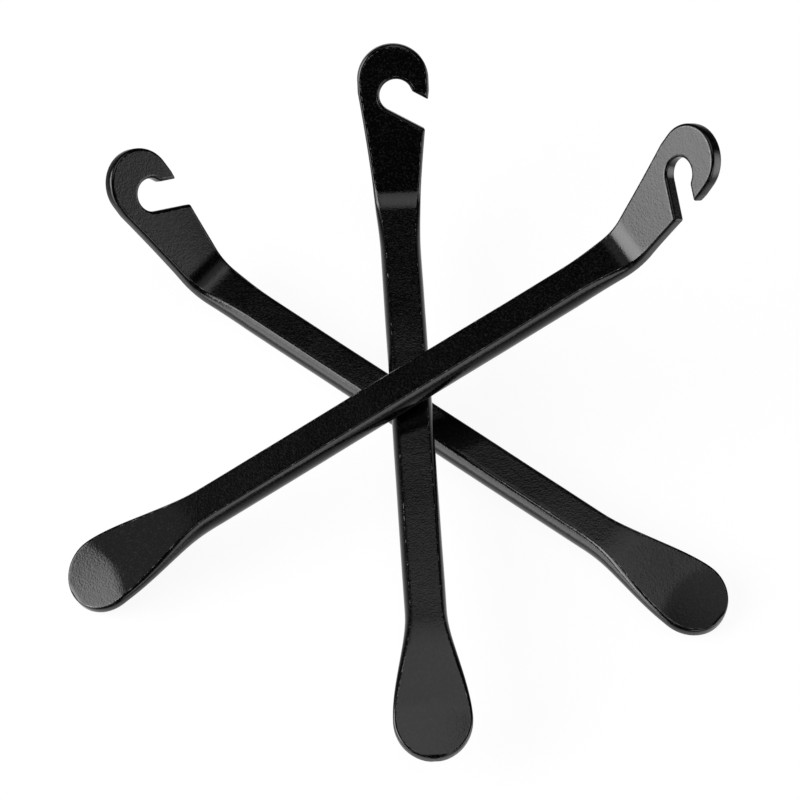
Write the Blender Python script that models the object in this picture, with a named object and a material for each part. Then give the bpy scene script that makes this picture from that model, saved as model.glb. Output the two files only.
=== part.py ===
"""A set of three forged steel tyre levers, laid across one another in a loose star.

Each lever is one forging: a D-section shaft, a spoon pressed flat at one end, and at the
other a hook head, bent up and slotted to hold a spoke. Metres, +Z up. The origin is the
centre of the set's footprint, on the surface that it lies on. In its own frame a lever
points along +X from spoon to head, with the flat face of its shaft at Z = 0, facing up.
"""

import math

import bmesh
import bpy
from mathutils import Matrix, Vector

MM = 0.001

# One lever. Lengths that run along it are measured on its flat face, round the bends.
LEVER_LENGTH = 126 * MM
SHAFT_DIAMETER = 6.5 * MM  # of the round bar that the lever is forged from
FLAT_HEIGHT = 2.15 * MM  # of the flat face above the bar's centre

SPOON_WIDTH = 12.1 * MM
SPOON_THICKNESS = 1.9 * MM
SPOON_NOSE = 6.0 * MM  # from the tip to where the spoon is widest
SPOON_FLARE = 19 * MM  # from there to where the shaft's width begins
SPOON_BEND_AT = 20 * MM  # the middle of the bend, from the tip
SPOON_BEND_RADIUS = 40 * MM
SPOON_TILT = math.radians(7)  # down from the shaft
LIP_LENGTH = 6.7 * MM
LIP_TILT = math.radians(9.5)  # down from the rest of the spoon
LIP_BEND_RADIUS = 8 * MM

HEAD_WIDTH = 11.4 * MM
HEAD_THICKNESS = 2.2 * MM
HEAD_CHEEK = 2 * MM  # the stretch of full width behind the round end
HEAD_TAPER = 25.5 * MM  # from there to where the shaft's width begins
HEAD_TAPER_POWER = 1.5
HEAD_BEND_AT = 24.5 * MM  # the middle of the bend, from the head's tip
HEAD_BEND_RADIUS = 5.5 * MM
HEAD_TILT = math.radians(45)  # up from the shaft

SPOON_FORGED_TO = 27 * MM  # from the tip, where the D-section is whole again
HEAD_FORGED_TO = 36 * MM  # from the head's tip, where the D-section is whole again
HEAD_FLAT_FROM = 20 * MM  # from the head's tip, where the plate section begins
EDGE_RADIUS = 0.35 * MM  # on the edges of the spoon and the head

# The spoke slot: a round seat, and a channel that runs out to the lever's right
SEAT_DIAMETER = 5.3 * MM
SEAT_FROM_TIP = 8.3 * MM
SEAT_OFFSET = 0.4 * MM  # to the right of the head's centre line
CHANNEL_WIDTH = 4.45 * MM
CHANNEL_ANGLE = math.radians(30)  # back towards the shaft, from straight across

# How the levers lie. The bottom one lies on the floor, the middle one level across it, and
# the top one leans on the middle one, with the tip of its spoon on the floor.
CLEARANCE = 0.3 * MM
LEVERS = {
    # name: (direction of its head from +X, plan position of the middle of its flat face)
    "bottom_lever": (math.radians(142.2), Vector((-1.7, 3.0)) * MM),
    "middle_lever": (math.radians(93.4), Vector((0, -0.6)) * MM),
    "top_lever": (math.radians(30.2), Vector((0.2, -0.7)) * MM),
}

PAINT_COLOUR = (0.012, 0.012, 0.013, 1.0)
PAINT_ROUGHNESS = 0.38
PAINT_METALLIC = 0.0

# Fineness of the mesh
OUTLINE_STEPS = 7  # on each side of a section, from the flat face's edge to the underside
NOSE_STEPS = 7
TAPER_STEPS = 9
BEND_STEPS = 5
SEAT_SIDES = 32
BLEND_SHARPNESS = math.radians(35)

BAR_RADIUS = SHAFT_DIAMETER / 2
SHAFT_THICKNESS = BAR_RADIUS + FLAT_HEIGHT
FLAT_HALF_WIDTH = math.sqrt(BAR_RADIUS**2 - FLAT_HEIGHT**2)


def ease(share):
    """0 to 1, level at both ends."""
    share = min(max(share, 0), 1)
    return share * share * (3 - 2 * share)


def half_width(at):
    """Half of the lever's width at a distance from the spoon's tip."""
    from_head = LEVER_LENGTH - at
    spoon, head = SPOON_WIDTH / 2, HEAD_WIDTH / 2
    if at < SPOON_NOSE:
        return spoon * math.sqrt(1 - (1 - at / SPOON_NOSE) ** 2)
    if from_head < head:
        return math.sqrt(head**2 - (head - from_head) ** 2)
    if at < LEVER_LENGTH / 2:
        return BAR_RADIUS + (spoon - BAR_RADIUS) * (1 - ease((at - SPOON_NOSE) / SPOON_FLARE))
    taper = min(max((from_head - head - HEAD_CHEEK) / HEAD_TAPER, 0), 1)
    return BAR_RADIUS + (head - BAR_RADIUS) * (1 - taper) ** HEAD_TAPER_POWER


def shaft_share(at):
    """How much of the section is the shaft's D: 1 along the shaft, 0 at both ends."""
    from_head = LEVER_LENGTH - at
    spoon_side = (at - SPOON_NOSE) / (SPOON_FORGED_TO - SPOON_NOSE)
    head_side = (from_head - HEAD_FLAT_FROM) / (HEAD_FORGED_TO - HEAD_FLAT_FROM)
    return ease(min(spoon_side, head_side))


def shaft_outline(width):
    """Right half of the D, from the flat face's edge round to the underside, as (y, z)."""
    edge = math.asin(FLAT_HEIGHT / BAR_RADIUS)
    points = []
    for step in range(OUTLINE_STEPS + 1):
        angle = edge - (edge + math.pi / 2) * step / OUTLINE_STEPS
        points.append((width * math.cos(angle), BAR_RADIUS * math.sin(angle) - FLAT_HEIGHT))
    return points


def blade_outline(width, thickness):
    """Right half of a plate with round edges, with as many points as shaft_outline."""
    radius = min(EDGE_RADIUS, width / 2, thickness / 2)
    quarter = [math.pi / 2, math.pi / 4, 0]
    top = [(width - radius + radius * math.cos(a), radius * math.sin(a) - radius) for a in quarter]
    bottom = [(y, -thickness - z) for y, z in reversed(top)]
    inner = OUTLINE_STEPS + 1 - len(top) - len(bottom)
    middle = [(bottom[-1][0] * (inner - 1 - i) / inner, -thickness) for i in range(inner)]
    return top + bottom + middle


def section(at):
    """The whole outline at a distance from the spoon's tip, right side first, as (y, z)."""
    width, share = half_width(at), shaft_share(at)
    thickness = SPOON_THICKNESS if at < LEVER_LENGTH / 2 else HEAD_THICKNESS
    pairs = zip(blade_outline(width, thickness), shaft_outline(width))
    right = [tuple(b + (d - b) * share for b, d in zip(blade, shaft)) for blade, shaft in pairs]
    right[-1] = (0, right[-1][1])
    left = [(-y, z) for y, z in reversed(right[:-1])]
    return [(-y, z) for y, z in right + left]


def stretches():
    """The flat face from the spoon's tip to the head's, as (length, turn) pieces."""
    bends = (
        (LIP_LENGTH, -LIP_TILT, LIP_BEND_RADIUS),
        (SPOON_BEND_AT, -SPOON_TILT, SPOON_BEND_RADIUS),
        (LEVER_LENGTH - HEAD_BEND_AT, HEAD_TILT, HEAD_BEND_RADIUS),
    )
    pieces, reached = [], 0
    for middle, turn, radius in bends:
        length = abs(turn) * radius
        pieces += [(middle - length / 2 - reached, 0), (length, turn)]
        reached = middle + length / 2
    return pieces + [(LEVER_LENGTH - reached, 0)]


def walk(at):
    """(x, z, tilt) of the flat face at a distance from the spoon's tip, from that tip."""
    x, z, tilt, left = 0, 0, SPOON_TILT + LIP_TILT, at
    for length, turn in stretches():
        part = min(left, length)
        turned = turn * part / length
        if turned:
            radius = part / turned
            x += radius * (math.sin(tilt + turned) - math.sin(tilt))
            z += radius * (math.cos(tilt) - math.cos(tilt + turned))
        else:
            x += part * math.cos(tilt)
            z += part * math.sin(tilt)
        tilt += turned
        left -= part
    return x, z, tilt


def flat_face(at):
    """The frame of the flat face at a distance from the spoon's tip: X ahead, Z out of it."""
    middle_x, middle_z, _ = walk(LEVER_LENGTH / 2)
    x, z, tilt = walk(at)
    place = Matrix.Translation((x - middle_x, 0, z - middle_z))
    return place @ Matrix.Rotation(-tilt, 4, "Y")


def spread(start, end, steps):
    return [start + (end - start) * step / steps for step in range(steps + 1)]


def stations():
    """The distances from the spoon's tip at which the lever has a section."""
    head = HEAD_WIDTH / 2
    places = []
    for step in range(NOSE_STEPS):
        rise = 1 - math.cos(math.pi / 2 * (step + 0.5) / NOSE_STEPS)
        places += [SPOON_NOSE * rise, LEVER_LENGTH - head * rise]
    places += spread(SPOON_NOSE, SPOON_FORGED_TO, TAPER_STEPS)
    places += spread(LEVER_LENGTH - HEAD_FORGED_TO, LEVER_LENGTH - head, TAPER_STEPS)
    reached = 0
    for length, turn in stretches():
        if turn:
            places += spread(reached, reached + length, BEND_STEPS)
        reached += length
    places.sort()
    closest = EDGE_RADIUS
    kept = places[:1]
    for place in places[1:]:
        if place - kept[-1] > closest or place > LEVER_LENGTH - head:
            kept.append(place)
    return kept


def blank():
    """The lever before its slot is cut: sections lofted along the flat face."""
    mesh = bmesh.new()
    rings = []
    for at in stations():
        frame = flat_face(at)
        rings.append([mesh.verts.new(frame @ Vector((0, y, z))) for y, z in section(at)])
    for ring, following in zip(rings, rings[1:]):
        for i, vertex in enumerate(ring):
            mesh.faces.new((ring[i - 1], vertex, following[i], following[i - 1]))
    mesh.faces.new(rings[0])
    mesh.faces.new(reversed(rings[-1]))
    bmesh.ops.recalc_face_normals(mesh, faces=mesh.faces)
    data = bpy.data.meshes.new("lever_blank")
    mesh.to_mesh(data)
    mesh.free()
    return bpy.data.objects.new("lever_blank", data)


def seat_frame():
    """The frame of the spoke seat: its centre on the head's flat face, X to the tip."""
    return flat_face(LEVER_LENGTH - SEAT_FROM_TIP) @ Matrix.Translation((0, -SEAT_OFFSET, 0))


def seat_cutter():
    mesh = bmesh.new()
    radius, depth = SEAT_DIAMETER / 2, 4 * HEAD_THICKNESS
    bmesh.ops.create_cone(
        mesh, cap_ends=True, segments=SEAT_SIDES, radius1=radius, radius2=radius, depth=depth
    )
    return cutter("seat_cutter", mesh, seat_frame())


def channel_cutter():
    """A block whose wall on the shaft's side runs on from the seat's round wall."""
    mesh = bmesh.new()
    length, depth = HEAD_WIDTH, 4 * HEAD_THICKNESS
    across = CHANNEL_WIDTH / 2 - SEAT_DIAMETER / 2
    bmesh.ops.create_cube(mesh, size=1)
    bmesh.ops.scale(mesh, vec=(CHANNEL_WIDTH, length, depth), verts=mesh.verts)
    bmesh.ops.translate(mesh, vec=(across, -length / 2, 0), verts=mesh.verts)
    return cutter("channel_cutter", mesh, seat_frame() @ Matrix.Rotation(-CHANNEL_ANGLE, 4, "Z"))


def cutter(name, mesh, frame):
    data = bpy.data.meshes.new(name)
    mesh.to_mesh(data)
    mesh.free()
    tool = bpy.data.objects.new(name, data)
    tool.matrix_world = frame
    tool.hide_render = True
    tool.display_type = "WIRE"
    return tool


def lever_mesh(cutters):
    """The finished lever, as one mesh that the three levers share."""
    lever = blank()
    cutters.objects.link(lever)
    for make in (seat_cutter, channel_cutter):
        tool = make()
        cutters.objects.link(tool)
        cut = lever.modifiers.new(tool.name, "BOOLEAN")
        cut.operation = "DIFFERENCE"
        cut.solver = "EXACT"
        cut.object = tool
    bpy.context.view_layer.update()
    graph = bpy.context.evaluated_depsgraph_get()
    data = bpy.data.meshes.new_from_object(lever.evaluated_get(graph))
    data.name = "lever"
    bpy.data.objects.remove(lever)
    data.shade_smooth()
    data.set_sharp_from_angle(angle=BLEND_SHARPNESS)
    return data


def paint():
    material = bpy.data.materials.new("black_powder_coat")
    material.use_nodes = True
    surface = material.node_tree.nodes["Principled BSDF"]
    surface.inputs["Base Color"].default_value = PAINT_COLOUR
    surface.inputs["Roughness"].default_value = PAINT_ROUGHNESS
    surface.inputs["Metallic"].default_value = PAINT_METALLIC
    return material


def foot(points, pitch):
    """How far the lowest of these points is above the lever's origin, with its head raised."""
    return min(point.x * math.sin(pitch) + point.z * math.cos(pitch) for point in points)


def solve(rising):
    """The pitch at which a function that rises with the pitch is 0."""
    low, high = math.radians(-30), math.radians(30)
    while high - low > 1e-7:
        middle = (low + high) / 2
        if rising(middle) < 0:
            low = middle
        else:
            high = middle
    return (low + high) / 2


def ahead(lie):
    return Vector((math.cos(lie["direction"]), math.sin(lie["direction"])))


def crossing(lie, below):
    """How far ahead of their middles two levers cross in plan, as (this one's, the other's)."""
    apart = below["middle"] - lie["middle"]
    turn = math.sin(below["direction"] - lie["direction"])
    return (
        (apart.x * ahead(below).y - apart.y * ahead(below).x) / turn,
        (apart.x * ahead(lie).y - apart.y * ahead(lie).x) / turn,
    )


def flat_height(lie, along):
    """The height of a lever's flat face at a plan distance ahead of its middle."""
    return lie["height"] + along * math.tan(lie["pitch"])


def on_floor(lie, points):
    """On the spoon's tip and on the underside of the head's bend."""
    spoon = [point for point in points if point.x < 0]
    head = [point for point in points if point.x > 0]
    lie["pitch"] = solve(lambda pitch: foot(head, pitch) - foot(spoon, pitch))
    lie["height"] = -foot(points, lie["pitch"])


def level_across(lie, below):
    """Along the flat face of the lever below, and CLEARANCE above it."""
    here, there = crossing(lie, below)
    slope = math.tan(below["pitch"]) * math.cos(below["direction"] - lie["direction"])
    lie["pitch"] = math.atan(slope)
    shaft = SHAFT_THICKNESS / math.cos(lie["pitch"])
    lie["height"] = flat_height(below, there) + CLEARANCE + shaft - here * slope


def leaning(lie, below, points):
    """On the edge of the flat face below, CLEARANCE above it, with the spoon on the floor."""
    spoon = [point for point in points if point.x < 0]
    here, there = crossing(lie, below)
    angle = below["direction"] - lie["direction"]
    edge = FLAT_HALF_WIDTH / math.sin(angle)
    support = flat_height(below, there - edge * math.cos(angle)) + CLEARANCE

    def underside(pitch):
        shaft = SHAFT_THICKNESS / math.cos(pitch)
        return (here - edge) * math.tan(pitch) - shaft - foot(spoon, pitch)

    lie["pitch"] = solve(lambda pitch: underside(pitch) - support)
    lie["height"] = -foot(points, lie["pitch"])


def placements(points):
    """How each lever lies, from the bottom one up."""
    bottom, middle, top = (
        {"name": name, "direction": direction, "middle": middle}
        for name, (direction, middle) in LEVERS.items()
    )
    on_floor(bottom, points)
    level_across(middle, bottom)
    leaning(top, middle, points)
    return bottom, middle, top


def lie_matrix(lie):
    """The lever's place before the set is centred."""
    place = Matrix.Translation((lie["middle"].x, lie["middle"].y, lie["height"]))
    turn = Matrix.Rotation(lie["direction"], 4, "Z") @ Matrix.Rotation(-lie["pitch"], 4, "Y")
    return place @ turn


def main():
    for obj in list(bpy.data.objects):
        bpy.data.objects.remove(obj)
    scene = bpy.context.scene
    parts = bpy.data.collections.new("tyre_lever_set")
    cutters = bpy.data.collections.new("cutters")
    scene.collection.children.link(parts)
    scene.collection.children.link(cutters)

    data = lever_mesh(cutters)
    data.materials.append(paint())
    points = [vertex.co for vertex in data.vertices]
    lies = placements(points)
    corners = [lie_matrix(lie) @ point for lie in lies for point in points]
    centre_x = (min(c.x for c in corners) + max(c.x for c in corners)) / 2
    centre_y = (min(c.y for c in corners) + max(c.y for c in corners)) / 2

    root = bpy.data.objects.new("tyre_lever_set", None)
    root.location = (-centre_x, -centre_y, 0)
    parts.objects.link(root)
    for lie in lies:
        lever = bpy.data.objects.new(lie["name"], data)
        parts.objects.link(lever)
        lever.parent = root
        lever.matrix_local = lie_matrix(lie)


main()
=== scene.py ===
"""The looks of the tyre lever set: three black powder-coated levers crossed on a white table.

Each CAD lever is replaced by a finer mesh of the same shape, with rounded edges, a rounded
spoon lip and a punched spoke slot. Metres, +Z up. In its own frame a lever points along +X
from spoon to head, with the flat face of its shaft at Z = 0, facing up.
"""

import math

import bmesh
import bpy
from mathutils import Matrix, Vector, noise


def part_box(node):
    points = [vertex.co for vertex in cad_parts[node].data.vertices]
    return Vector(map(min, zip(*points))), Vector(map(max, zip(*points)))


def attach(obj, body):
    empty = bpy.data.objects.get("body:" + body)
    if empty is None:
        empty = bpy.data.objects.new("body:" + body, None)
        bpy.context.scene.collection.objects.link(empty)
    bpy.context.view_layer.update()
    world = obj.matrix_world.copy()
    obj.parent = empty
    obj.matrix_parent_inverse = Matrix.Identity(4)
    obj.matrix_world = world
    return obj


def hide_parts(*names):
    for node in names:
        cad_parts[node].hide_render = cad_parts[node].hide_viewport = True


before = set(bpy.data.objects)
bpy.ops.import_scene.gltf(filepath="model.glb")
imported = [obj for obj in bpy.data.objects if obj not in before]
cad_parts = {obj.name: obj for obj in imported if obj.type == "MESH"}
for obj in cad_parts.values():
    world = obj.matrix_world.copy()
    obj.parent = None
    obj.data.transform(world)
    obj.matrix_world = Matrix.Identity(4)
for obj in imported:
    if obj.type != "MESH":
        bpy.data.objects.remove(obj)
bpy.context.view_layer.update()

MM = 0.001

# One lever. Lengths that run along it are measured on its flat face, round the bends.
LEVER_LENGTH = 126 * MM
BAR_RADIUS = 3.25 * MM
FLAT_HEIGHT = 2.15 * MM  # of the flat face above the bar's centre

SPOON_WIDTH = 12.1 * MM
SPOON_THICKNESS = 1.9 * MM
SPOON_NOSE = 6.0 * MM  # length of the round tip
SPOON_FLARE = 19 * MM  # length in which the spoon narrows to the shaft
SPOON_BEND_AT = 20 * MM  # from the spoon's tip
SPOON_BEND_RADIUS = 40 * MM
SPOON_TILT = math.radians(7)
LIP_LENGTH = 8.2 * MM  # on the centre line: the lip ends at an arc across the spoon
LIP_ARC_RADIUS = 11.5 * MM
LIP_DROP = 1.1 * MM  # of the tip below the plane of the spoon
LIP_BLEND = 0.8 * MM

HEAD_WIDTH = 11.4 * MM
HEAD_THICKNESS = 2.2 * MM
HEAD_CHEEK = 2 * MM  # length of the straight sides behind the round tip
HEAD_TAPER = 25.5 * MM  # length in which the head narrows to the shaft
HEAD_TAPER_POWER = 1.5
HEAD_BEND_AT = 24.5 * MM  # from the head's tip
HEAD_BEND_RADIUS = 5.5 * MM
HEAD_TILT = math.radians(45)

SPOON_FORGED_TO = 27 * MM  # from the spoon's tip: the shaft's D is whole from here
HEAD_FORGED_TO = 36 * MM  # from the head's tip: the same
HEAD_FLAT_FROM = 20 * MM  # from the head's tip: the head is a plate up to here
EDGE_RADIUS = 0.5 * MM
SHAFT_EDGE_SOFTENING = 0.16 * MM  # how far the edge of the shaft's flat face is rounded
BLADE_EDGE_SOFTENING = 0.06 * MM
MOST_SOFTENED = 0.8  # of the outline's first step below that edge

SEAT_DIAMETER = 5.3 * MM
SEAT_FROM_TIP = 8.3 * MM
SEAT_OFFSET = 0.4 * MM
CHANNEL_WIDTH = 4.45 * MM
CHANNEL_ANGLE = math.radians(30)
SLOT_CORNER = 0.25 * MM

# How the levers lie: direction of the head from +X, and how far the head is raised
LEVERS = {
    "bottom_lever": (math.radians(142.2), 0),
    "middle_lever": (math.radians(93.4), 0),
    "top_lever": (math.radians(30.2), math.radians(11.406)),
}

# Fineness of the mesh
OUTLINE_STEPS = 14  # on each side of a section, from the flat face's edge to the underside
CORNER_STEPS = 3
SIDE_POINTS = CORNER_STEPS + OUTLINE_STEPS + 1
LEFT_EDGE = 2 * SIDE_POINTS - 2  # place in a ring of the last point of its left side
FLAT_COLUMNS = 10
RING_SPACING = 0.7 * MM
NOSE_RINGS = 14
FIRST_NOSE_RING = 0.35  # of the spacing, from the tip
NECK = 16.5 * MM  # from the head's tip, where the head's plate joins the rings
OUTLINE_SPACING = 0.35 * MM  # along the outline of the head's plate
CORNER_MARGIN = 0.8 * MM  # of outline left without points beside a corner
SEAT_ARC_CUT = 3  # last points of the seat's arc, which give way to its rounded corner
EDGE_TOLERANCE = 1e-6 * MM
MITRE_LIMIT = 2  # longest step into the steel at a corner, per unit of inset

# Where the parts of a plate's section end, as shares of the way from the flat face's edge
UPPER_ROUND_TO = 2 / 7
WALL_TO = 3 / 7
LOWER_ROUND_TO = 5 / 7

# Paint: where it is worn, from the edge of the flat face outwards
WORN_STEPS = 3
WORN_LAYER = "worn"
SHAFT_WEAR = 0.84  # of the wear at both ends

# Paint: its fields of noise, as (scale per metre, detail), and what they do
PEEL_FIELD = (1300, 1.0)
PEEL_HEIGHT = 0.010 * MM
GRAIN_FIELD = (3600, 2.0)
GRAIN_HEIGHT = 0.018 * MM
GLOSS_FIELD = (260, 3.0)
GLOSS_RANGE = (0.3, 0.7)
ROUGHNESS = (0.11, 0.16)
SPECKLE_FIELD = (3000, 2.0)
SPECKLE_RANGE = (0.50, 0.72)
CHIP_FIELD = (1300, 2.0)
CHIP_RANGE = (0.45, 0.51)
BLACK_PAINT = (0.0005, 0.0005, 0.0006, 1)
PAINT_SPECKLE = (0.012, 0.012, 0.013, 1)
BARE_STEEL = (0.16, 0.16, 0.17, 1)
PAINT_IOR = 1.5
FACE_WEIGHT = 100  # the most: large faces decide how the ones beside them are shaded

# Forging: how far hammered steel strays from a true surface
WAVE_HEIGHT = 0.035 * MM
WAVE_LENGTH = 9 * MM
WAVE_FADE = 6 * MM  # length in which the waves die out at both ends
WAVES_FROM = -58 * MM  # along the lever from its middle
WAVES_END = 8 * MM  # before the neck
NOISE_STEP = Vector((31.7, 17.3, 5.9))  # in the field of noise, from one lever to the next

# The camera, in the frame of the CAD model
CAMERA_TARGET = Vector((0.25, 4.16, 8.0)) * MM
CAMERA_DISTANCE = 782.7 * MM
CAMERA_ELEVATION = math.radians(56.48)
CAMERA_ROLL = math.radians(0.2)
CAMERA_LENS = 224.3  # mm
CAMERA_SENSOR = 36  # mm wide
CAMERA_CLIPS = (0.01, 20)

# The studio
LIGHT_DISTANCE = 1.0
SOFTBOXES = (
    # name, azimuth from the front towards the right, elevation, width, height, radiance
    ("key_left", -81, 22, 1.02, 0.91, 2.8),
    ("key_front", -66, 22, 0.36, 0.30, 3.6),
)
OVERHEAD_PLACE = Vector((0.11, 0.137, 1.0))
OVERHEAD_SIZE = (0.42, 0.955)
OVERHEAD_RADIANCE = 0.7
GLOWS = (
    # azimuth, elevation, angle at which it starts to fade, angle at which it is gone, radiance
    (-91, 21, 6, 28, 3.6),
    (-62, -14, 8, 24, 2.8),
    (-119, 54, 6, 15, 0.35),
    (34, 12, 5, 22, 1.9),
    (80, -4, 2, 34, 2.8),
    (110, 76, 4, 30, 0.55),
)
# The glow below the horizon, and the dark above it: (height from -1 down to 1 up, radiance)
SKY = ((-0.85, 0.75), (-0.5, 0.40), (-0.2, 0.10), (0.0, 0.03), (1.0, 0.012))
FLOOR_SIZE = 8.0
FLOOR_GLOW = 0.93
FLOOR_COLOUR = (0.12, 0.12, 0.12, 1.0)


def ease(share):
    """0 to 1, level at both ends."""
    share = min(max(share, 0), 1)
    return share * share * (3 - 2 * share)


def mix(start, end, share):
    return start + (end - start) * share


def half_width(at):
    """Half of the lever's width at a distance from the spoon's tip."""
    from_head = LEVER_LENGTH - at
    spoon, head = SPOON_WIDTH / 2, HEAD_WIDTH / 2
    if at < SPOON_NOSE:
        return spoon * math.sqrt(1 - (1 - at / SPOON_NOSE) ** 2)
    if from_head < head:
        return math.sqrt(head**2 - (head - from_head) ** 2)
    if at < LEVER_LENGTH / 2:
        return BAR_RADIUS + (spoon - BAR_RADIUS) * (1 - ease((at - SPOON_NOSE) / SPOON_FLARE))
    taper = min(max((from_head - head - HEAD_CHEEK) / HEAD_TAPER, 0), 1)
    return BAR_RADIUS + (head - BAR_RADIUS) * (1 - taper) ** HEAD_TAPER_POWER


def shaft_share(at):
    """How much of the section is the shaft's D: 1 along the shaft, 0 at both ends."""
    from_head = LEVER_LENGTH - at
    spoon_side = (at - SPOON_NOSE) / (SPOON_FORGED_TO - SPOON_NOSE)
    head_side = (from_head - HEAD_FLAT_FROM) / (HEAD_FORGED_TO - HEAD_FLAT_FROM)
    return ease(min(spoon_side, head_side))


def shaft_point(width, share):
    """A point of the D's right half: share 0 is the flat face's edge, 1 the underside."""
    edge = math.asin(FLAT_HEIGHT / BAR_RADIUS)
    angle = edge - (edge + math.pi / 2) * share
    return Vector((width * math.cos(angle), BAR_RADIUS * math.sin(angle) - FLAT_HEIGHT))


def blade_point(width, thickness, edge_radius, share):
    """The same for a plate with round edges."""
    radius = min(edge_radius, width / 2, thickness / 2)
    if share <= UPPER_ROUND_TO:
        angle = math.pi / 2 * (1 - share / UPPER_ROUND_TO)
        across = width - radius + radius * math.cos(angle)
        return Vector((across, radius * math.sin(angle) - radius))
    if share <= WALL_TO:
        down = (share - UPPER_ROUND_TO) / (WALL_TO - UPPER_ROUND_TO)
        return Vector((width, mix(-radius, radius - thickness, down)))
    if share <= LOWER_ROUND_TO:
        angle = math.pi / 2 * (share - WALL_TO) / (LOWER_ROUND_TO - WALL_TO)
        across = width - radius + radius * math.cos(angle)
        return Vector((across, radius - thickness - radius * math.sin(angle)))
    inwards = (share - LOWER_ROUND_TO) / (1 - LOWER_ROUND_TO)
    return Vector((mix(width - radius, 0, inwards), -thickness))


def soft_corner(start, corner, end):
    """The points of a short curve from start to end that bends towards the corner."""
    shares = [step / CORNER_STEPS for step in range(CORNER_STEPS + 1)]
    return [start.lerp(corner, s).lerp(corner.lerp(end, s), s) for s in shares]


def half_section(at):
    """The right half of the outline, from the flat face round to the underside, as (y, z)."""
    width, share = half_width(at), shaft_share(at)
    thickness = SPOON_THICKNESS if at < LEVER_LENGTH / 2 else HEAD_THICKNESS
    rounding = EDGE_RADIUS - math.sqrt(EDGE_RADIUS**2 - max(EDGE_RADIUS - at, 0) ** 2)

    def point(along):
        blade = blade_point(width, thickness - 2 * rounding, EDGE_RADIUS - rounding, along)
        blade.y -= rounding
        return blade.lerp(shaft_point(width, along), share)

    corner, following = point(0), point(1 / OUTLINE_STEPS)
    reach = mix(BLADE_EDGE_SOFTENING, SHAFT_EDGE_SOFTENING, share)
    reach = min(reach, MOST_SOFTENED * (following - corner).length, width / 2)
    start = corner - Vector((reach, 0))
    end = corner + (following - corner).normalized() * reach
    rest = [point(step / OUTLINE_STEPS) for step in range(1, OUTLINE_STEPS + 1)]
    return soft_corner(start, corner, end) + rest


def section(at):
    """The whole outline: right side, underside, left side, then back across the flat face."""
    right = half_section(at)
    left = [Vector((-p.x, p.y)) for p in reversed(right[:-1])]
    across = [left[-1].lerp(right[0], step / FLAT_COLUMNS) for step in range(1, FLAT_COLUMNS)]
    return [Vector((-p.x, p.y)) for p in right + left + across]


def stretches():
    """The flat face from the spoon's tip to the head's, as (length, turn) pieces."""
    bends = (
        (SPOON_BEND_AT, -SPOON_TILT, SPOON_BEND_RADIUS),
        (LEVER_LENGTH - HEAD_BEND_AT, HEAD_TILT, HEAD_BEND_RADIUS),
    )
    pieces, reached = [], 0
    for middle, turn, radius in bends:
        length = abs(turn) * radius
        pieces += [(middle - length / 2 - reached, 0), (length, turn)]
        reached = middle + length / 2
    return pieces + [(LEVER_LENGTH - reached, 0)]


def walk(at):
    """(x, z, tilt) of the flat face at a distance from the spoon's tip, from that tip."""
    x, z, tilt, left = 0, 0, SPOON_TILT, at
    for length, turn in stretches():
        part = min(left, length)
        turned = turn * part / length
        if turned:
            radius = part / turned
            x += radius * (math.sin(tilt + turned) - math.sin(tilt))
            z += radius * (math.cos(tilt) - math.cos(tilt + turned))
        else:
            x += part * math.cos(tilt)
            z += part * math.sin(tilt)
        tilt += turned
        left -= part
    return x, z, tilt


def flat_face(at):
    """The frame of the flat face at a distance from the spoon's tip: X ahead, Z out of it."""
    middle_x, middle_z, _ = walk(LEVER_LENGTH / 2)
    x, z, tilt = walk(at)
    place = Matrix.Translation((x - middle_x, 0, z - middle_z))
    return place @ Matrix.Rotation(-tilt, 4, "Y")


def lip_drop(at, across):
    """How far the lip is bent down from the plane of the spoon."""
    inside = LIP_LENGTH - at - across**2 / (2 * LIP_ARC_RADIUS)
    slope = LIP_DROP / LIP_LENGTH
    if inside > LIP_BLEND:
        return slope * inside
    return slope * max(inside + LIP_BLEND, 0) ** 2 / (4 * LIP_BLEND)


def stations():
    """The distances from the spoon's tip at which the lever has a ring, up to the neck."""
    end = LEVER_LENGTH - NECK
    nose = [
        SPOON_NOSE * (1 - math.cos(math.pi / 2 * (step + FIRST_NOSE_RING) / NOSE_RINGS))
        for step in range(NOSE_RINGS)
    ]
    count = round((end - SPOON_NOSE) / RING_SPACING)
    return nose + [mix(SPOON_NOSE, end, step / count) for step in range(count + 1)]


def arc(centre, radius, start, end, spacing):
    """Points of an arc, both ends included."""
    count = max(round(abs(end - start) * radius / spacing), 1)
    angles = [mix(start, end, step / count) for step in range(count + 1)]
    return [centre + radius * Vector((math.cos(a), math.sin(a))) for a in angles]


def slot_outline():
    """The slot's mouth on the shaft's side, the arc of its seat, and its mouth on the tip's side.

    Every point is (distance from the head's tip, y).
    """
    seat = Vector((SEAT_FROM_TIP, -SEAT_OFFSET))
    radius = SEAT_DIAMETER / 2
    out = Vector((math.sin(CHANNEL_ANGLE), -math.cos(CHANNEL_ANGLE)))
    back = Vector((math.cos(CHANNEL_ANGLE), math.sin(CHANNEL_ANGLE)))
    near_wall = seat + back * radius
    far_wall = seat + back * (radius - CHANNEL_WIDTH)
    bite = math.sqrt(radius**2 - (CHANNEL_WIDTH - radius) ** 2)
    nose = far_wall + out * bite

    def at_edge(start):
        low, high = 0, HEAD_WIDTH
        while high - low > EDGE_TOLERANCE:
            middle = (low + high) / 2
            point = start + out * middle
            if -point.y < half_width(LEVER_LENGTH - point.x):
                low = middle
            else:
                high = middle
        return start + out * low

    first = math.atan2(back.y, back.x)
    last = math.atan2((nose - seat).y, (nose - seat).x) + 2 * math.pi
    if last - first > 2 * math.pi:
        last -= 2 * math.pi
    seat_arc = arc(seat, radius, first, last, OUTLINE_SPACING)
    return at_edge(near_wall), seat_arc, at_edge(far_wall)


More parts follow.
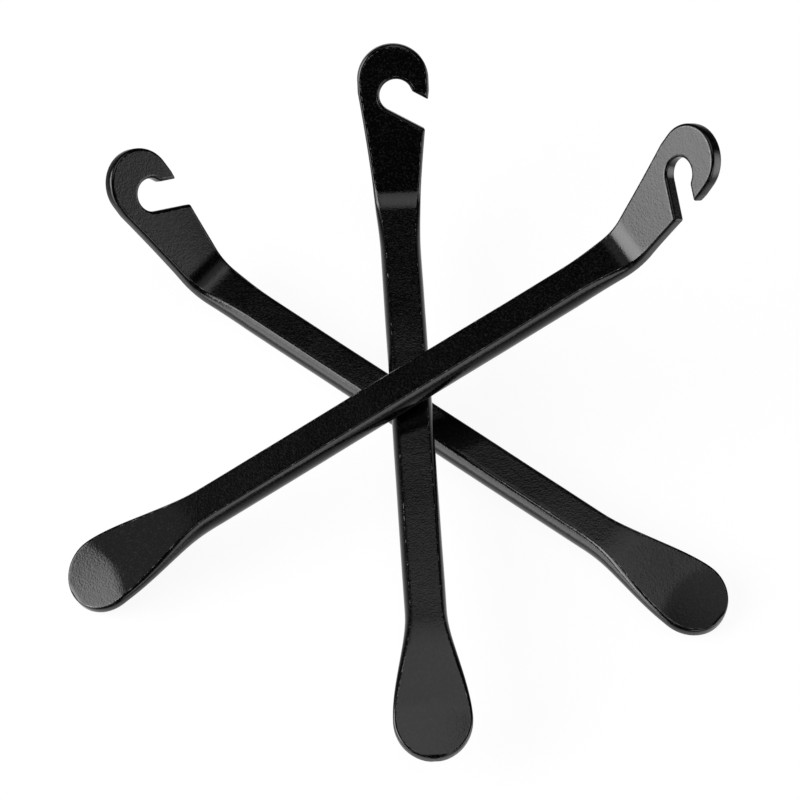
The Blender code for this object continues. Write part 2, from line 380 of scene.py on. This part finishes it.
def rounded(before, corner, after, reach):
    """A corner of an outline as a short curve: its points, each with the corner's own step."""
    start = corner + (before - corner).normalized() * reach
    end = corner + (after - corner).normalized() * reach
    step = into_steel((corner - before).normalized(), (after - corner).normalized())
    return [(point, step) for point in soft_corner(start, corner, end)]


def into_steel(first, second):
    """The step into the steel per unit of inset, where an outline turns between two directions."""
    normals = [Vector((d.y, -d.x)) for d in (first, second)]
    middle = (normals[0] + normals[1]).normalized()
    return middle / max(middle.dot(normals[0]), 1 / MITRE_LIMIT)


def edge_point(distance, side):
    """The point of the head's edge at a distance from its tip: side 1 is left, -1 right."""
    return Vector((distance, side * half_width(LEVER_LENGTH - distance)))


def side_points(start, end, side):
    """Points along the head's edge between two distances from its tip, ends left out."""
    count = max(round(abs(end - start) / OUTLINE_SPACING), 1)
    return [edge_point(mix(start, end, step / count), side) for step in range(1, count)]


def head_outline():
    """The head's plate from the neck's right edge round the tip to its left edge.

    Each point comes with the step that it takes into the steel per unit of inset, or None
    where that follows from its neighbours.
    """
    near, seat_arc, far = slot_outline()
    head = HEAD_WIDTH / 2
    clear = SLOT_CORNER + CORNER_MARGIN
    near_edge = edge_point(near.x + clear, -1)
    far_edge = edge_point(far.x - clear, -1)
    points = [edge_point(NECK, -1)] + side_points(NECK, near.x + clear, -1)
    points += rounded(near_edge, near, seat_arc[0], SLOT_CORNER)
    points += seat_arc[:-SEAT_ARC_CUT]
    points += rounded(seat_arc[-2], seat_arc[-1], far, SLOT_CORNER)
    points += rounded(seat_arc[-1], far, far_edge, SLOT_CORNER)
    points += side_points(far.x - clear, head, -1)
    points += arc(Vector((head, 0)), head, -math.pi / 2, -1.5 * math.pi, OUTLINE_SPACING)
    points += side_points(head, NECK, 1) + [edge_point(NECK, 1)]
    return [point if isinstance(point, tuple) else (point, None) for point in points]


def inward(outline):
    """The head's outline as (point, step into the steel per unit of inset)."""
    points = [point for point, _ in outline]
    pairs = []
    for i, (point, step) in enumerate(outline):
        if step is None and 0 < i < len(points) - 1:
            first = (point - points[i - 1]).normalized()
            second = (points[i + 1] - point).normalized()
            step = into_steel(first, second)
        pairs.append((point, step))
    return pairs


def mark_worn(line, layer, most=1):
    """Marks the vertices of a line that goes from the flat face round its edge."""
    for step, vertex in enumerate(line[1 : CORNER_STEPS + WORN_STEPS]):
        vertex[layer] = most * (1 - step / (CORNER_STEPS + WORN_STEPS))


def lever_mesh(name, seed):
    """One lever: rings from the spoon to the neck, then the plate of the head."""
    mesh = bmesh.new()
    worn = mesh.verts.layers.float.new(WORN_LAYER)
    rings = []
    for at in stations():
        face = flat_face(at)
        places = [Vector((0, p.x, p.y - lip_drop(at, p.x))) for p in section(at)]
        rings.append([mesh.verts.new(face @ place) for place in places])
        most = mix(1, SHAFT_WEAR, shaft_share(at))
        mark_worn(rings[-1], worn, most)
        mark_worn(rings[-1][LEFT_EDGE::-1], worn, most)
    for ring, following in zip(rings, rings[1:]):
        for i, vertex in enumerate(ring):
            mesh.faces.new((ring[i - 1], vertex, following[i], following[i - 1]))
    mesh.faces.new(rings[0])

    neck = rings[-1]
    rim = CORNER_STEPS + 1 + round(OUTLINE_STEPS * LOWER_ROUND_TO)
    width = half_width(LEVER_LENGTH - NECK)
    profile = [(width - p.x, p.y) for p in half_section(LEVER_LENGTH - NECK)[:rim]]
    face = flat_face(LEVER_LENGTH - NECK)
    columns = [neck[:rim]]
    for point, step in inward(head_outline())[1:-1]:
        column = []
        for inset, z in profile:
            place = point + step * inset
            column.append(mesh.verts.new(face @ Vector((NECK - place.x, place.y, z))))
        mark_worn(column, worn)
        columns.append(column)
    columns.append([neck[LEFT_EDGE - i] for i in range(rim)])
    for column, following in zip(columns, columns[1:]):
        for i in range(rim - 1):
            mesh.faces.new((column[i], column[i + 1], following[i + 1], following[i]))
    across = neck[LEFT_EDGE + 1 :]
    mesh.faces.new([column[0] for column in columns] + across)
    beneath = neck[rim : LEFT_EDGE - rim + 1]
    mesh.faces.new([column[-1] for column in reversed(columns)] + beneath)
    bmesh.ops.recalc_face_normals(mesh, faces=mesh.faces)

    stray(mesh, seed)
    data = bpy.data.meshes.new(name)
    mesh.to_mesh(data)
    mesh.free()
    data.shade_smooth()
    return data


def stray(mesh, seed):
    """Moves the shaft's and the spoon's surface in and out a little, as forging leaves it."""
    mesh.normal_update()
    offset = NOISE_STEP * seed
    waves_to = flat_face(LEVER_LENGTH - NECK - WAVES_END).translation.x
    moves = []
    for vertex in mesh.verts:
        from_ends = (waves_to - vertex.co.x, vertex.co.x - WAVES_FROM)
        fade = ease(from_ends[0] / WAVE_FADE) * ease(from_ends[1] / WAVE_FADE)
        wave = noise.noise(vertex.co / WAVE_LENGTH + offset) - 0.5
        moves.append(vertex.normal * WAVE_HEIGHT * wave * fade)
    for vertex, move in zip(mesh.verts, moves):
        vertex.co += move


def powder_coat():
    """Black semi-gloss powder coat, with orange peel, fine speckle and chipped edges."""
    material = bpy.data.materials.new("black_powder_coat")
    material.use_nodes = True
    nodes, links = material.node_tree.nodes, material.node_tree.links
    surface = nodes["Principled BSDF"]
    surface.inputs["IOR"].default_value = PAINT_IOR
    place = nodes.new("ShaderNodeTexCoord").outputs["Object"]

    def field(scale, detail):
        node = nodes.new("ShaderNodeTexNoise")
        node.inputs["Scale"].default_value = scale
        node.inputs["Detail"].default_value = detail
        links.new(place, node.inputs["Vector"])
        return node.outputs["Fac"]

    def ramp(source, low, high, start=0, end=1):
        node = nodes.new("ShaderNodeMapRange")
        node.inputs["From Min"].default_value = low
        node.inputs["From Max"].default_value = high
        node.inputs["To Min"].default_value = start
        node.inputs["To Max"].default_value = end
        links.new(source, node.inputs["Value"])
        return node.outputs["Result"]

    def bump(height, distance, under=None):
        node = nodes.new("ShaderNodeBump")
        node.inputs["Distance"].default_value = distance
        links.new(height, node.inputs["Height"])
        if under:
            links.new(under, node.inputs["Normal"])
        return node.outputs["Normal"]

    def colour_mix(share, first, second):
        """From the first colour, or another node's, to the second."""
        node = nodes.new("ShaderNodeMix")
        node.data_type = "RGBA"
        links.new(share, node.inputs["Factor"])
        if isinstance(first, tuple):
            node.inputs["A"].default_value = first
        else:
            links.new(first, node.inputs["A"])
        node.inputs["B"].default_value = second
        return node.outputs["Result"]

    peel = bump(field(*PEEL_FIELD), PEEL_HEIGHT)
    grain = bump(field(*GRAIN_FIELD), GRAIN_HEIGHT, peel)
    links.new(grain, surface.inputs["Normal"])
    gloss = ramp(field(*GLOSS_FIELD), *GLOSS_RANGE, *ROUGHNESS)
    links.new(gloss, surface.inputs["Roughness"])

    wear = nodes.new("ShaderNodeAttribute")
    wear.attribute_name = WORN_LAYER
    chips = nodes.new("ShaderNodeMath")
    chips.operation = "MULTIPLY"
    links.new(wear.outputs["Fac"], chips.inputs[0])
    links.new(field(*CHIP_FIELD), chips.inputs[1])
    speckle = ramp(field(*SPECKLE_FIELD), *SPECKLE_RANGE)
    paint = colour_mix(speckle, BLACK_PAINT, PAINT_SPECKLE)
    colour = colour_mix(ramp(chips.outputs["Value"], *CHIP_RANGE), paint, BARE_STEEL)
    links.new(colour, surface.inputs["Base Color"])
    return material


def add_object(name, data):
    """A new object in the scene."""
    added = bpy.data.objects.new(name, data)
    bpy.context.scene.collection.objects.link(added)
    return added


def build_levers(material):
    """One mesh for each lever of the CAD, centred on that lever's box."""
    for seed, (name, (direction, pitch)) in enumerate(LEVERS.items()):
        data = lever_mesh(name + "_forging", seed)
        data.transform(Matrix.Rotation(direction, 4, "Z") @ Matrix.Rotation(-pitch, 4, "Y"))
        low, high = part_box(name)
        corners = [v.co for v in data.vertices]
        own_low = Vector([min(c[axis] for c in corners) for axis in range(3)])
        own_high = Vector([max(c[axis] for c in corners) for axis in range(3)])
        data.transform(Matrix.Translation((low + high - own_low - own_high) / 2))
        data.materials.append(material)
        lever = add_object(name + "_coated", data)
        shading = lever.modifiers.new("flat faces stay flat", "WEIGHTED_NORMAL")
        shading.weight = FACE_WEIGHT
        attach(lever, name)
        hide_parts(name)


def build_floor():
    """A white table that lights up by itself, and that no lever reflects."""
    data = bpy.data.meshes.new("floor")
    half = FLOOR_SIZE / 2
    corners = [(-half, -half, 0), (half, -half, 0), (half, half, 0), (-half, half, 0)]
    data.from_pydata(corners, [], [(0, 1, 2, 3)])
    floor = add_object("floor", data)
    floor.visible_glossy = False
    material = bpy.data.materials.new("white_table")
    material.use_nodes = True
    surface = material.node_tree.nodes["Principled BSDF"]
    surface.inputs["Base Color"].default_value = FLOOR_COLOUR
    surface.inputs["Roughness"].default_value = 1.0
    surface.inputs["Specular IOR Level"].default_value = 0.0
    surface.inputs["Emission Color"].default_value = (1, 1, 1, 1)
    surface.inputs["Emission Strength"].default_value = FLOOR_GLOW
    data.materials.append(material)


def towards(azimuth, elevation):
    """The unit vector at an azimuth from the front towards the right, and an elevation."""
    a, e = math.radians(azimuth), math.radians(elevation)
    return Vector((math.sin(a) * math.cos(e), -math.cos(a) * math.cos(e), math.sin(e)))


def softbox(name, place, turn, size, radiance):
    """A rectangular light that the camera doesn't see."""
    light = bpy.data.lights.new(name, "AREA")
    light.shape = "RECTANGLE"
    light.size, light.size_y = size
    light.energy = radiance * math.pi * size[0] * size[1]
    box = add_object(name, light)
    box.location = place
    box.rotation_euler = turn
    box.visible_camera = False


def build_lights():
    for name, azimuth, elevation, width, height, radiance in SOFTBOXES:
        turn = (math.radians(90 - elevation), 0, math.radians(azimuth))
        place = towards(azimuth, elevation) * LIGHT_DISTANCE
        softbox(name, place, turn, (width, height), radiance)
    softbox("overhead", OVERHEAD_PLACE, (0, 0, 0), OVERHEAD_SIZE, OVERHEAD_RADIANCE)


def build_world():
    """A dark studio with soft glows, and below the horizon the light that the table throws back."""
    world = bpy.data.worlds.new("studio")
    bpy.context.scene.world = world
    world.use_nodes = True
    nodes, links = world.node_tree.nodes, world.node_tree.links
    background = nodes["Background"]
    place = nodes.new("ShaderNodeTexCoord")
    split = nodes.new("ShaderNodeSeparateXYZ")
    links.new(place.outputs["Generated"], split.inputs["Vector"])
    ramp = nodes.new("ShaderNodeValToRGB")
    height = nodes.new("ShaderNodeMapRange")
    height.inputs["From Min"].default_value = -1
    links.new(split.outputs["Z"], height.inputs["Value"])
    links.new(height.outputs["Result"], ramp.inputs["Fac"])
    while len(ramp.color_ramp.elements) < len(SKY):
        ramp.color_ramp.elements.new(0.5)
    for element, (z, value) in zip(ramp.color_ramp.elements, SKY):
        element.position = (z + 1) / 2
        element.color = (value, value, value, 1)
    light = ramp.outputs["Color"]
    for azimuth, elevation, full, gone, radiance in GLOWS:
        aim = nodes.new("ShaderNodeVectorMath")
        aim.operation = "DOT_PRODUCT"
        aim.inputs[1].default_value = towards(azimuth, elevation)
        links.new(place.outputs["Generated"], aim.inputs[0])
        glow = nodes.new("ShaderNodeMapRange")
        glow.interpolation_type = "SMOOTHSTEP"
        glow.inputs["From Min"].default_value = math.cos(math.radians(gone))
        glow.inputs["From Max"].default_value = math.cos(math.radians(full))
        glow.inputs["To Max"].default_value = radiance
        links.new(aim.outputs["Value"], glow.inputs["Value"])
        total = nodes.new("ShaderNodeMath")
        links.new(light, total.inputs[0])
        links.new(glow.outputs["Result"], total.inputs[1])
        light = total.outputs["Value"]
    links.new(light, background.inputs["Color"])


def build_camera():
    data = bpy.data.cameras.new("camera")
    data.lens = CAMERA_LENS
    data.sensor_width = CAMERA_SENSOR
    data.clip_start, data.clip_end = CAMERA_CLIPS
    camera = add_object("camera", data)
    back = Vector((0, -math.cos(CAMERA_ELEVATION), math.sin(CAMERA_ELEVATION)))
    turn = back.to_track_quat("Z", "Y").to_matrix().to_4x4()
    place = Matrix.Translation(CAMERA_TARGET + back * CAMERA_DISTANCE)
    camera.matrix_world = place @ turn @ Matrix.Rotation(CAMERA_ROLL, 4, "Z")
    bpy.context.scene.camera = camera


bpy.context.scene.view_settings.view_transform = "Standard"
build_camera()
build_lights()
build_world()
build_floor()
build_levers(powder_coat())

bpy.context.view_layer.update()
